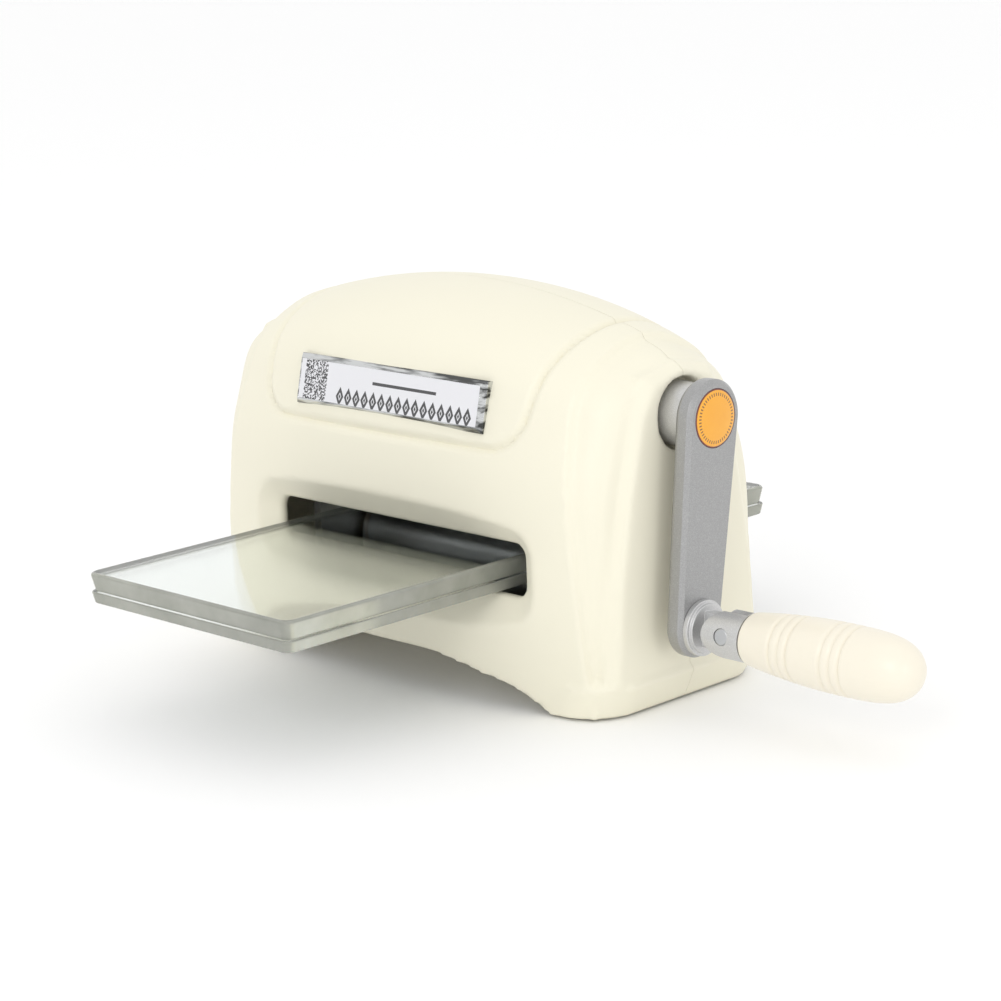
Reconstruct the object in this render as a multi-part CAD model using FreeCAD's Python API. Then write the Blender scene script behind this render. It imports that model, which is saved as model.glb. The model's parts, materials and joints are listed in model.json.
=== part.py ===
"""Hand-cranked die cutting and embossing machine with its two pressing plates.

Units are millimetres. +X is the crank side, -Y the front, +Z up. The origin is the centre of
the plates' width and of the casing's depth, on the surface that the four feet stand on.
"""
import FreeCAD, Part

import math
import os

V = FreeCAD.Vector

# ---------------------------------------------------------------- driving dimensions
HEIGHT = 95.0              # resting surface to the crown of the casing
FOOT_PROUD = 0.6           # how far the rubber feet stand out under the casing
WALL = 2.2                 # casing wall
CASING_X = -2.5            # middle of the casing; the rollers and plates are centred on X = 0
CROWN_DROP = 0.00275       # the crown falls by this times the squared distance from the middle
BOW = 5.0                  # how far the front falls back at BOW_AT from the middle
BOW_AT = 59.5
CHEEK_STEP = 1.6           # the end cheeks lie this far inside the main surface
CHEEK_END = 63.0           # flat end of the cheek
CHEEK_ROUND = 6.0          # rounding between the cheek's front and its end
PAD_X = 65.5               # raised crank pad on each end
PAD_SPREAD = 2.2           # how far the pad's sloping edge spreads at its foot
SKIRT_X = 66.8             # widest point of the base skirt
SKIRT_FOOT_X = 63.6        # end of the skirt at the foot of the casing
SKIRT_TOP = 9.5

PLATE_W, PLATE_L = 71.0, 162.5
PLATE_Y = -97.5            # front edge of the plates
PLATE_Z = 28.2             # underside of the plates
LOWER_T, UPPER_T = 2.8, 4.5
PLATE_ROUND = 2.4          # corners of the plates
PAPER_GAP = 0.1            # room for the die and the paper
NIP_GAP = 0.3              # running gap of each roller to its plate

SLOT_X, SLOT_LOW, SLOT_HIGH = 42.6, 27.4, 40.2
RECESS_X, RECESS_LOW, RECESS_HIGH = 53.0, 17.5, 48.5
SLOT_ROUND, RECESS_ROUND = 3.0, 11.0
FRONT_Y = 36.6             # just outside the casing's deepest front point
RECESS_FLOOR_Y = -30.5     # Y of the recess's inner edge at the front

MODULE = 1.0
PRESSURE_ANGLE = 20.0
BACKLASH = 0.08            # share of the module taken off each flank
PINION_TEETH, DRIVE_TEETH = 14, 34
UPPER_TEETH, LOWER_TEETH = 27, 21
UPPER_R, LOWER_R = 9.0, 7.0
STACK = LOWER_T + PAPER_GAP + UPPER_T
LOWER_Z = PLATE_Z - NIP_GAP - LOWER_R
UPPER_Z = PLATE_Z + STACK + NIP_GAP + UPPER_R
CRANK_Z = UPPER_Z + MODULE * (PINION_TEETH + DRIVE_TEETH) / 2
ROLLER_HALF = 37.7
JOURNAL_R = 3.5
RUN = 0.05                 # radial running clearance of a shaft in its bush

FRAME_X, FRAME_T = 39.0, 2.5
FRAME_OUT = FRAME_X + FRAME_T
FRAME_Y, FRAME_LOW, FRAME_TOP = 21.0, 13.5, 78.5
BUSH_R, FLANGE_R, FLANGE_T = 5.0, 6.5, 0.9
RODS = [(sy * 16.0, z) for z in (17.5, 66.0) for sy in (-1, 1)]
ROD_R = 3.0
GEAR_A, GEAR_B, FACE = 42.4, 48.4, 5.0
CLIP_R, CLIP_T = 5.2, 0.8
UPPER_END = GEAR_B + FACE + 2.2    # crank-side ends of the two roller shafts
LOWER_END = GEAR_A + FACE + 2.2

SCREW_SPOTS = [(-62.0, 17.0), (57.0, 17.0), (-35.0, 83.5), (30.0, 83.5)]
BOSS_R, WELL_R, SHANK_R = 4.2, 3.1, 1.5
WELL_END = 5.0             # Y of the ledge that the screw heads bear on

HUB_HOLE_R, HUB_R = 8.7, 7.7
CUP_X = 60.5               # floor of the cup that the hub turns in
ARM_IN, ARM_OUT = 69.9, 74.8
ARM_LENGTH, ARM_LEAN = 48.4, -7.4
LOW_Z = CRANK_Z - ARM_LENGTH       # handle axis before the crank leans
ARM_R_TOP, ARM_R_LOW = 8.9, 7.3
ARM_SCREW_R = 1.65
BADGE_R, BADGE_T = 6.8, 1.0
SHAFT_END = 72.5           # outer end of the crank shaft, inside the arm
FLAT_X, FLAT_R = ARM_IN - 3.0, 2.6     # where the shaft's flat starts, and how far out it lies
SCREW_SEAT = 72.6          # face that the arm screw's head bears on
ARM_BEVEL = 1.0
PIN_X = 85.3
SLEEVE_R, SLEEVE_END = 5.8, 90.2
PIN_R, TONGUE_T = 2.0, 4.0
COLLAR_R, COLLAR_T = 6.6, 2.2
TONGUE_R = 4.2             # half height of the tongue, round about the pin
GRIP_TIP = 137.0
GRIP_START_R, GRIP_SWELL = 6.1, 2.05
GRIP_FULLEST = 0.62        # part of the grip's length where it's thickest
DOME = 10                  # the higher, the blunter the tip
RINGS = (100.2, 102.8, 105.4, 115.2, 117.8, 120.4)
RING_DEPTH = 0.45
SPINDLE_R, SPINDLE_END, CAP_R = 2.5, 126.0, 3.8
LABEL_W, LABEL_H, LABEL_T = 64.4, 12.4, 1.2
LABEL_X, LABEL_Z, LABEL_Y, LABEL_LEAN = -0.8, 71.4, -31.9, 13.0
COVER_X, COVER_Y, COVER_T = 60.8, 26.6, 1.7
FOOT_SPOTS = [(x, side * 19.0) for x in (-60.0, 55.0) for side in (-1, 1)]
FOOT_R, FOOT_T = 4.6, 1.8

PROFILE = [(33.2, 0.0), (35.9, 20.0), (36.2, 36.0), (34.2, 60.0), (31.2, 71.4),
           (26.5, 83.5), (17.5, 91.0), (8.0, 94.2), (0.0, 95.0)]
STEP_LINE = [(60.4, 0.0), (58.6, 32.0), (57.0, 46.0), (53.6, 70.0), (52.8, 96.0)]
PAD_LINE = [(24.4, 8.0), (22.6, 31.0), (18.9, 52.0), (14.2, 70.0), (9.6, 76.6), (0.0, 79.0)]
ARCH_LINE = [(49.5, 0.0), (44.5, 3.2), (38.0, 6.2), (31.5, 7.6), (19.0, 10.2), (CASING_X, 10.8)]


# ---------------------------------------------------------------- helpers
def polygon(points):
    """Closed wire of straight edges through 3-D points."""
    return Part.makePolygon(list(points) + [points[0]])


def prism(points, direction):
    """Solid swept from a flat outline."""
    return Part.Face(polygon(points)).extrude(direction)


def box(x0, x1, y0, y1, z0, z1):
    return Part.makeBox(x1 - x0, y1 - y0, z1 - z0, V(x0, y0, z0))


def rod_x(radius, x0, x1, y=0.0, z=0.0):
    return Part.makeCylinder(radius, x1 - x0, V(x0, y, z), V(1, 0, 0))


def rod_y(radius, y0, y1, x=0.0, z=0.0):
    return Part.makeCylinder(radius, y1 - y0, V(x, y0, z), V(0, 1, 0))


def rod_z(radius, z0, z1, x=0.0, y=0.0):
    return Part.makeCylinder(radius, z1 - z0, V(x, y, z0), V(0, 0, 1))


def tube_x(outer, inner, x0, x1, z):
    return rod_x(outer, x0, x1, z=z).cut(rod_x(inner, x0 - 1, x1 + 1, z=z))


def both_sides(shape):
    """The shape and its mirror image across the middle of the casing."""
    return shape.fuse(shape.mirror(V(CASING_X, 0, 0), V(1, 0, 0)))


def other_end(x):
    """X of the mirror image of a place across the middle of the casing."""
    return 2 * CASING_X - x


def rounded_edges(shape, radius, pick):
    """Fillets the edges that pick() accepts."""
    edges = [edge for edge in shape.Edges if pick(edge)]
    return shape.makeFillet(radius, edges)


def along(axis):
    """Accepts straight edges that run along one axis, 0 for X, 1 for Y, 2 for Z."""
    def pick(edge):
        if not isinstance(edge.Curve, Part.Line):
            return False
        return abs(edge.Curve.Direction[axis]) > 0.999
    return pick


def rounded_rect(half_x, z0, z1, radius, y):
    """Closed wire of a rounded rectangle in a plane of constant Y."""
    slab = box(-half_x, half_x, y, y + 1, z0, z1)
    slab = rounded_edges(slab, radius, along(1))
    face = min(slab.Faces, key=lambda f: f.CenterOfMass.y)
    return face.OuterWire


def save(name, shape):
    """Writes one node, as a plain solid or a compound of separate solids."""
    shape = shape.removeSplitter()
    solids = shape.Solids
    for solid in solids:
        if not solid.isValid():
            raise ValueError(name + " is not valid")
    result = solids[0] if len(solids) == 1 else Part.makeCompound(solids)
    result.exportStep("parts/" + name + ".step")
    print(name, len(solids), "solid(s)", round(sum(s.Volume for s in solids) / 1000, 3), "cm3")


# ---------------------------------------------------------------- casing
def section(x, inset):
    """Closed wire of the casing's cross-section at one X, drawn in by inset."""
    off_middle = x - CASING_X
    drop = CROWN_DROP * off_middle ** 2
    back = BOW * abs(off_middle / BOW_AT) ** 3 + inset
    points = []
    for half, z in PROFILE:
        lowered = z - drop * max(0.0, (z - 42.0) / (HEIGHT - 42.0))
        top_pull = inset * max(0.0, (z - 84.0) / (HEIGHT - 84.0))
        y = max(0.0, half - back * min(1.0, half / 16.0))
        points.append((y, lowered - top_pull))
    points[0] = (points[0][0], FOOT_PROUD)
    right = [V(x, -y, z) for y, z in points]
    left = [V(x, y, z) for y, z in reversed(points[:-1])]
    curve = Part.BSplineCurve()
    curve.interpolate(right + left)
    floor = Part.makeLine(left[-1], right[0])
    return Part.Wire([curve.toShape(), floor])


def loaf(stations, inset):
    """Solid lofted through the casing's cross-sections."""
    return Part.makeLoft([section(x, inset + extra) for x, extra in stations], True, False)


def step_prism(shrink):
    """Everything between the two end steps of the main casing."""
    right = [V(x - shrink, -60, z) for x, z in STEP_LINE]
    left = [V(other_end(p.x), -60, p.z) for p in reversed(right)]
    return prism(right + left, V(0, 120, 0))


def main_loaf(inset):
    stations = [(CASING_X + x, 0.0) for x in (-65, -52, -38, -19, 0, 19, 38, 52, 65)]
    return loaf(stations, inset).common(step_prism(inset))


def cheek(inset):
    """Rounded end of the casing on the crank side."""
    stations = [(40.0, 0.0), (52.0, 0.0), (57.0, 0.0)]
    for turn in (25.0, 50.0, 72.0, 90.0):
        x = 57.0 + CHEEK_ROUND * math.sin(math.radians(turn))
        stations.append((x - inset * (x - 57.0) / CHEEK_ROUND,
                         (CHEEK_ROUND - 1.0) * (1 - math.cos(math.radians(turn)))))
    return loaf(stations, inset + CHEEK_STEP)


def pad(inset):
    """Raised pad round the crank hub, with a sloping edge."""
    wires = []
    for x, spread in ((57.0, PAD_SPREAD), (CHEEK_END - 0.6, PAD_SPREAD), (PAD_X - inset, 0.0)):
        side = [V(x, -(y + spread - inset if y else 0), z + spread - inset) for y, z in PAD_LINE]
        side[0].z = PAD_LINE[0][1]
        other = [V(x, -p.y, p.z) for p in reversed(side[:-1])]
        wires.append(polygon(side + other))
    return Part.makeLoft(wires, True, True)


def skirt(inset):
    """Flared skirt round the foot of one end."""
    def outline(z, half_x, half_y):
        slab = box(30, half_x - inset, -half_y + inset, half_y - inset, z, z + 1)
        def outer(edge):
            return along(2)(edge) and edge.CenterOfMass.x > 31
        slab = rounded_edges(slab, 13.0, outer)
        return min(slab.Faces, key=lambda f: f.CenterOfMass.z).OuterWire
    low = outline(FOOT_PROUD, SKIRT_FOOT_X, 30.4)
    mid = outline(SKIRT_TOP - 1.5, SKIRT_X, 30.6)
    top = outline(SKIRT_TOP + 2.0, SKIRT_X - 3.4, 28.6)
    lower = Part.makeLoft([low, mid], True, True)
    return lower.fuse(Part.makeLoft([mid, top], True, True))


def arch_tool(raise_by):
    """Space under the casing, between its two feet."""
    right = [V(x, -60, z + raise_by) for x, z in ARCH_LINE]
    left = [V(other_end(p.x), -60, p.z) for p in reversed(right[:-1])]
    curve = Part.BSplineCurve()
    curve.interpolate(right + left)
    floor = [left[-1], V(left[-1].x, -60, -5), V(right[0].x, -60, -5), right[0]]
    edges = [curve.toShape()] + [Part.makeLine(a, b) for a, b in zip(floor, floor[1:])]
    return Part.Face(Part.Wire(edges)).extrude(V(0, 120, 0))


def slot_mouths(grow):
    """Sloping recess at the front and rear mouth of the feed slot, made larger by grow."""
    inner = rounded_rect(SLOT_X + grow, SLOT_LOW - grow, SLOT_HIGH + grow, SLOT_ROUND + grow,
                         RECESS_FLOOR_Y + grow)
    outer = rounded_rect(RECESS_X + grow, RECESS_LOW - grow, RECESS_HIGH + grow,
                         RECESS_ROUND + grow, -FRONT_Y)
    mouth = Part.makeLoft([inner, outer], True, True)
    return mouth.fuse(mouth.mirror(V(0, 0, 0), V(0, 1, 0)))


def slot_tool():
    """Feed slot through the casing, with a sloping recess at each mouth."""
    tool = box(-SLOT_X, SLOT_X, -60, 60, SLOT_LOW, SLOT_HIGH)
    return rounded_edges(tool, SLOT_ROUND, along(1)).fuse(slot_mouths(0.0))


def casing_outside():
    ends = cheek(0.0).fuse(pad(0.0)).fuse(skirt(0.0))
    return main_loaf(0.0).fuse(both_sides(ends))


def casing_inside():
    ends = cheek(WALL).fuse(pad(WALL)).fuse(skirt(WALL))
    hollow = main_loaf(WALL).fuse(both_sides(ends))
    return hollow.fuse(box(other_end(56.0), 56, -26, 26, -5, 9).cut(arch_tool(0.0)))


def casing_ribs(outside):
    """Screw bosses, frame pockets and the hub cup, trimmed to the casing's outside."""
    parts = [rod_y(BOSS_R, -40, 40, x, z) for x, z in SCREW_SPOTS]
    for side in (-1, 1):
        for near in (FRAME_X - 1.7, FRAME_OUT + 0.1):
            x0 = side * near if side > 0 else -near - 1.5
            for z0, z1 in ((14.0, 22.0), (52.0, 74.0)):
                for y0, y1 in ((-36, -19.0), (19.0, 36)):
                    parts.append(box(x0, x0 + 1.5, y0, y1, z0, z1))
    parts.append(rod_x(HUB_HOLE_R + 1.8, CUP_X - 2.0, PAD_X - 0.5, z=CRANK_Z))
    ribs = parts[0]
    for part in parts[1:]:
        ribs = ribs.fuse(part)
    return ribs.common(outside)


def casing():
    """The whole casing before it is parted into its front and rear shells."""
    outside = casing_outside()
    shell = outside.cut(casing_inside()).fuse(casing_ribs(outside))
    shell = shell.fuse(slot_mouths(WALL).common(outside))
    shell = shell.cut(slot_tool()).cut(arch_tool(0.0))
    shell = shell.cut(rod_x(HUB_HOLE_R, CUP_X, 80, z=CRANK_Z))
    return shell.cut(rod_x(FLANGE_R - 1.5, CUP_X - 5, CUP_X + 1, z=CRANK_Z))


def front_shell(whole):
    half = whole.common(box(-90, 90, -60, 0, -1, 100))
    for x, z in SCREW_SPOTS:
        half = half.cut(rod_y(SHANK_R - 0.2, -9.0, 1.0, x, z))
    return half


def rear_shell(whole):
    half = whole.common(box(-90, 90, 0, 60, -1, 100))
    for x, z in SCREW_SPOTS:
        half = half.cut(rod_y(WELL_R, WELL_END, 60, x, z)).cut(rod_y(SHANK_R + 0.2, -1, 60, x, z))
    return half


def shell_screws():
    """Four self-tapping screws that draw the rear shell to the front shell."""
    screws = []
    for x, z in SCREW_SPOTS:
        head = rod_y(2.7, WELL_END, WELL_END + 2.2, x, z)
        drive = rod_y(1.1, WELL_END + 1.0, WELL_END + 3.0, x, z)
        screws.append(head.cut(drive).fuse(rod_y(SHANK_R - 0.2, -8.0, WELL_END, x, z)))
    return Part.makeCompound(screws)


def bottom_cover():
    """Thin cover that closes the casing from below and follows its arch."""
    band = arch_tool(COVER_T).cut(arch_tool(0.0)).common(box(other_end(50.0), 50, -60, 60, 0, 30))
    wings = both_sides(box(49.0, COVER_X, -COVER_Y, COVER_Y, FOOT_PROUD, FOOT_PROUD + COVER_T))
    limits = box(other_end(COVER_X), COVER_X, -COVER_Y, COVER_Y, FOOT_PROUD, 30)
    limits = rounded_edges(limits, 10.0, along(2))
    cover = band.fuse(wings).common(limits).cut(arch_tool(0.0))
    for x, y in FOOT_SPOTS:
        cover = cover.cut(rod_z(FOOT_R, -1, FOOT_T - FOOT_PROUD, x, y))
    return cover


def rubber_feet():
    feet = []
    for x, y in FOOT_SPOTS:
        pad_solid = rod_z(FOOT_R, 0.0, FOOT_T - FOOT_PROUD, x, y)
        feet.append(pad_solid.makeChamfer(0.3, [pad_solid.Edges[0]]))
    return Part.makeCompound(feet)


def label_plate(outside):
    """Bevelled name plate, its back shaped to the casing's front."""
    half_w, half_h = LABEL_W / 2, LABEL_H / 2
    wires = []
    for y, grow in ((3.0, 0.0), (0.0, 0.0), (-LABEL_T, -1.3)):
        w, h = half_w + grow, half_h + grow
        wires.append(polygon([V(-w, y, -h), V(w, y, -h), V(w, y, h), V(-w, y, h)]))
    plate = Part.makeLoft(wires, True, True)
    plate.rotate(V(0, 0, 0), V(1, 0, 0), -LABEL_LEAN)
    plate.translate(V(LABEL_X, LABEL_Y + LABEL_T, LABEL_Z))
    return plate.cut(outside)


# ---------------------------------------------------------------- frame and rollers
def side_plate(with_crank_bore):
    plate = box(FRAME_X, FRAME_OUT, -FRAME_Y, FRAME_Y, FRAME_LOW, FRAME_TOP)
    plate = rounded_edges(plate, 5.0, along(0))
    bores = [LOWER_Z, UPPER_Z] + ([CRANK_Z] if with_crank_bore else [])
    for z in bores:
        plate = plate.cut(rod_x(BUSH_R, FRAME_X - 1, FRAME_OUT + 1, z=z))
    for y, z in RODS:
        plate = plate.cut(rod_x(1.6, FRAME_X - 1, FRAME_OUT + 1, y, z))
    return plate


def tie_rods():
    rods = []
    for y, z in RODS:
        rod = rod_x(ROD_R, -FRAME_X, FRAME_X, y, z)
        for end in (-FRAME_X, FRAME_X - 8.0):
            rod = rod.cut(rod_x(1.5, end, end + 8.0, y, z))
        rods.append(rod)
    return Part.makeCompound(rods)


def frame_screws():
    """Eight pan-head screws that hold the side plates to the tie rods."""
    screws = []
    for y, z in RODS:
        head = rod_x(2.9, FRAME_OUT, FRAME_OUT + 2.0, y, z)
        head = head.cut(rod_x(1.1, FRAME_OUT + 1.0, FRAME_OUT + 3.0, y, z))
        screw = head.fuse(rod_x(1.5, FRAME_OUT - 9.0, FRAME_OUT, y, z))
        screws += [screw, screw.mirror(V(0, 0, 0), V(1, 0, 0))]
    return Part.makeCompound(screws)


def bush(x0, z):
    """Flanged bush pressed into a side plate from the inside."""
    body = rod_x(BUSH_R, x0, x0 + FRAME_T, z=z)
    flange = rod_x(FLANGE_R, x0 - FLANGE_T, x0, z=z)
    return body.fuse(flange).cut(rod_x(JOURNAL_R + RUN, x0 - 5, x0 + 5, z=z))


def roller_bushes():
    bushes = []
    for z in (LOWER_Z, UPPER_Z):
        bushes += [bush(FRAME_X, z), bush(FRAME_X, z).mirror(V(0, 0, 0), V(1, 0, 0))]
    return Part.makeCompound(bushes)


def crank_bushes():
    """One bush in the crank-side plate and one in the casing's hub cup."""
    outer = tube_x(FLANGE_R - 1.5, JOURNAL_R + RUN, CUP_X - 2.0, CUP_X, CRANK_Z)
    collar = tube_x(FLANGE_R, JOURNAL_R + RUN, CUP_X - 3.0, CUP_X - 2.0, CRANK_Z)
    return Part.makeCompound([bush(FRAME_X, CRANK_Z), outer.fuse(collar)])


def groove_cut(shape, x, z):
    """Cuts the groove of a retaining clip into a shaft."""
    return shape.cut(tube_x(JOURNAL_R + 1, JOURNAL_R - 0.6, x, x + CLIP_T, z))


def roller(radius, z, right_end):
    """Turned steel roller with its two journals."""
    left_end = -FRAME_OUT - 3.0
    shape = rod_x(radius, -ROLLER_HALF, ROLLER_HALF, z=z)
    shape = shape.makeChamfer(0.6, [e for e in shape.Edges if isinstance(e.Curve, Part.Circle)])
    shape = shape.fuse(rod_x(JOURNAL_R, left_end, right_end, z=z))
    shape = groove_cut(shape, left_end + 1.2, z)
    return groove_cut(shape, right_end - 2.0, z)


def clip(x, z):
    """Open retaining ring that snaps into a shaft's groove."""
    ring = tube_x(CLIP_R, JOURNAL_R - 0.6, x, x + CLIP_T, z)
    return ring.cut(box(x - 1, x + 2, -1.4, 1.4, z, z + 10))


def roller_clips(z, right_end):
    return Part.makeCompound([clip(-FRAME_OUT - 1.8, z), clip(right_end - 2.0, z)])


# ---------------------------------------------------------------- gears
def involute_point(base_r, roll, turn):
    """Point of an involute of a circle, turned about the centre."""
    x = base_r * (math.cos(roll) + roll * math.sin(roll))
    y = base_r * (math.sin(roll) - roll * math.cos(roll))
    return (x * math.cos(turn) - y * math.sin(turn), x * math.sin(turn) + y * math.cos(turn))


def gear(teeth, x0, z, tooth_at, bore, hub_r=0.0, hub_len=0.0):
    """Spur gear with involute flanks; one tooth is centred on the angle tooth_at."""
    pitch_r = MODULE * teeth / 2
    tip_r, root_r = pitch_r + 0.9 * MODULE, pitch_r - 1.2 * MODULE
    base_r = pitch_r * math.cos(math.radians(PRESSURE_ANGLE))
    roll_tip = math.sqrt((tip_r / base_r) ** 2 - 1)
    roll_pitch = math.sqrt((pitch_r / base_r) ** 2 - 1)
    lead = roll_pitch - math.atan(roll_pitch)
    half = math.pi / (2 * teeth) - BACKLASH * MODULE / pitch_r
    disc = rod_x(root_r, x0, x0 + FACE, z=z)
    flank = [involute_point(base_r, roll_tip * k / 3.0, -half - lead) for k in range(4)]
    start = (0.9 * root_r * math.cos(half + lead), -0.9 * root_r * math.sin(half + lead))
    lower = [start] + flank
    outline = lower + [(a, -b) for a, b in reversed(lower)]
    tooth = prism([V(x0, a, z + b) for a, b in outline], V(FACE, 0, 0))
    solids = []
    for k in range(teeth):
        copy = tooth.copy()
        copy.rotate(V(0, 0, z), V(1, 0, 0), tooth_at + 360.0 * k / teeth)
        solids.append(copy)
    shape = disc.multiFuse(solids)
    if hub_len:
        shape = shape.fuse(rod_x(hub_r, x0 + FACE, x0 + FACE + hub_len, z=z))
    return shape.cut(rod_x(bore, x0 - 5, x0 + 15, z=z))


def drive_gear():
    """Large gear on the upper roller, lightened by a ring of holes."""
    wheel = gear(DRIVE_TEETH, GEAR_B, UPPER_Z, 90.0 + 180.0 / DRIVE_TEETH, JOURNAL_R)
    for k in range(6):
        angle = math.radians(60.0 * k)
        wheel = wheel.cut(rod_x(2.6, GEAR_B - 1, GEAR_B + 9, 10.5 * math.cos(angle),
                                UPPER_Z + 10.5 * math.sin(angle)))
    return wheel


# ---------------------------------------------------------------- crank
def lean(shape):
    """Turns a crank piece about the crank axis to where the crank rests."""
    shape.rotate(V(0, 0, CRANK_Z), V(1, 0, 0), ARM_LEAN)
    return shape


def flat_tool():
    """What is cut away to give the crank shaft its flat."""
    return box(FLAT_X, 80, -5, 5, CRANK_Z + FLAT_R, CRANK_Z + 5)


def crank_shaft():
    shape = rod_x(JOURNAL_R, FRAME_X - 3.6, SHAFT_END, z=CRANK_Z)
    shape = groove_cut(shape, FRAME_X - 2.8, CRANK_Z)
    return shape.cut(flat_tool()).cut(rod_x(ARM_SCREW_R, SHAFT_END - 10.0, SHAFT_END + 1, z=CRANK_Z))


def shaft_bore(shape):
    """Cuts the shaft's D-shaped end out of a crank piece."""
    return shape.cut(rod_x(JOURNAL_R, FLAT_X, SHAFT_END, z=CRANK_Z).cut(flat_tool()))


def crank_hub():
    """Tapered hub between the casing's cup and the arm."""
    hub = Part.makeCone(HUB_R, HUB_R - 0.5, ARM_IN - CUP_X - 1.0, V(CUP_X + 1.0, 0, CRANK_Z), V(1, 0, 0))
    return hub.cut(rod_x(JOURNAL_R, CUP_X, ARM_IN + 1, z=CRANK_Z))


def arm_outline(x, shrink):
    """Closed wire round the arm: two arcs joined by their common tangents."""
    top_r, low_r = ARM_R_TOP - shrink, ARM_R_LOW - shrink
    tilt = math.asin((top_r - low_r) / ARM_LENGTH)
    c, s = math.cos(tilt), math.sin(tilt)
    corners = ((-1, top_r, CRANK_Z), (1, top_r, CRANK_Z), (1, low_r, LOW_Z), (-1, low_r, LOW_Z))
    ends = [V(x, side * r * c, z - r * s) for side, r, z in corners]
    upper = Part.Arc(ends[0], V(x, 0, CRANK_Z + top_r), ends[1]).toShape()
    lower = Part.Arc(ends[2], V(x, 0, LOW_Z - low_r), ends[3]).toShape()
    return Part.Wire([upper, Part.makeLine(ends[1], ends[2]), lower, Part.makeLine(ends[3], ends[0])])


def crank_arm():
    shoulder = ARM_OUT - ARM_BEVEL
    body = Part.Face(arm_outline(ARM_IN, 0.0)).extrude(V(shoulder - ARM_IN, 0, 0))
    rims = [arm_outline(shoulder, 0.0), arm_outline(ARM_OUT, ARM_BEVEL)]
    bevel = Part.makeLoft(rims, True, True)
    arm = shaft_bore(body.fuse(bevel))
    arm = arm.cut(rod_x(BADGE_R + 0.1, ARM_OUT - BADGE_T, ARM_OUT + 1, z=CRANK_Z))
    arm = arm.cut(rod_x(2.0, 70, 80, z=CRANK_Z))
    arm = arm.cut(rod_x(4.0, SCREW_SEAT, 80, z=CRANK_Z))
    return arm.cut(rod_x(3.0, ARM_IN - 1, ARM_OUT + 1, z=LOW_Z))


def arm_screw():
    """Screw under the badge that holds the arm on the shaft."""
    head = rod_x(3.4, SCREW_SEAT, SCREW_SEAT + 1.0, z=CRANK_Z)
    head = head.cut(rod_x(1.2, SCREW_SEAT + 0.6, SCREW_SEAT + 2.0, z=CRANK_Z))
    return head.fuse(rod_x(ARM_SCREW_R, SHAFT_END - 9.5, SCREW_SEAT, z=CRANK_Z))


def badge():
    disc = rod_x(BADGE_R, ARM_OUT - BADGE_T, ARM_OUT + 0.1, z=CRANK_Z)
    rim = [e for e in disc.Edges if isinstance(e.Curve, Part.Circle) and e.CenterOfMass.x > ARM_OUT]
    return disc.makeChamfer(0.3, rim)


def handle_lug():
    """Stepped collar on the arm, with the tongue that the handle folds on."""
    collar = rod_x(COLLAR_R, ARM_OUT, ARM_OUT + COLLAR_T - 0.8, z=LOW_Z)
    collar = collar.fuse(rod_x(COLLAR_R - 0.8, ARM_OUT, ARM_OUT + COLLAR_T, z=LOW_Z))
    rivet = rod_x(3.0, ARM_IN, ARM_OUT, z=LOW_Z)
    half = TONGUE_T / 2 - 0.15
    tongue = box(ARM_OUT, PIN_X, -half, half, LOW_Z - TONGUE_R, LOW_Z + TONGUE_R)
    tongue = tongue.fuse(rod_y(TONGUE_R, -half, half, PIN_X, LOW_Z))
    lug = collar.fuse(rivet).fuse(tongue)
    return lug.cut(rod_y(PIN_R + RUN, -10, 10, PIN_X, LOW_Z))


def fold_pin():
    return rod_y(PIN_R, -SLEEVE_R + 0.15, SLEEVE_R - 0.15, PIN_X, LOW_Z)


def handle_sleeve():
    """Clevis sleeve: round cheeks either side of a slot that opens at its end and upwards."""
    sleeve = rod_x(SLEEVE_R, PIN_X, SLEEVE_END, z=LOW_Z)
    cheeks = rod_y(SLEEVE_R, -SLEEVE_R, SLEEVE_R, PIN_X, LOW_Z)
    cheeks = cheeks.common(rod_x(SLEEVE_R, PIN_X - 10, SLEEVE_END, z=LOW_Z))
    sleeve = sleeve.fuse(cheeks)
    half = TONGUE_T / 2 + 0.15
    reach = TONGUE_R + 0.4
    slot = rod_y(reach, -half, half, PIN_X, LOW_Z)
    slot = slot.fuse(box(PIN_X - 10, PIN_X, -half, half, LOW_Z - reach, LOW_Z + 10))
    slot = slot.fuse(box(PIN_X - 10, PIN_X + reach, -half, half, LOW_Z, LOW_Z + 10))
    sleeve = sleeve.cut(slot).cut(rod_y(PIN_R, -10, 10, PIN_X, LOW_Z))
    return sleeve


def grip_spindle():
    """Steel spindle that the grip turns on, with its retaining head."""
    shank = rod_x(SPINDLE_R, SLEEVE_END, SPINDLE_END, z=LOW_Z)
    return shank.fuse(rod_x(SPINDLE_R - 0.8, SPINDLE_END, SPINDLE_END + 2.0, z=LOW_Z))


def grip_cap():
    """Snap-on cap at the end of the spindle that keeps the grip on."""
    cap = rod_x(CAP_R, SPINDLE_END, SPINDLE_END + 2.0, z=LOW_Z)
    return cap.cut(rod_x(SPINDLE_R - 0.8, SPINDLE_END - 1, SPINDLE_END + 3, z=LOW_Z))


def grip_radius(x):
    """Radius of the grip's outside at one X: a long swell that closes in a dome."""
    start = SLEEVE_END + 0.3
    t = min(1.0, max(0.0, (x - start) / (GRIP_TIP - start)))
    swell = GRIP_START_R + GRIP_SWELL * (1 - max(0.0, 1 - t / GRIP_FULLEST) ** 2.2)
    return swell * math.sqrt(max(0.0, 1.0 - t ** DOME))


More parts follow.
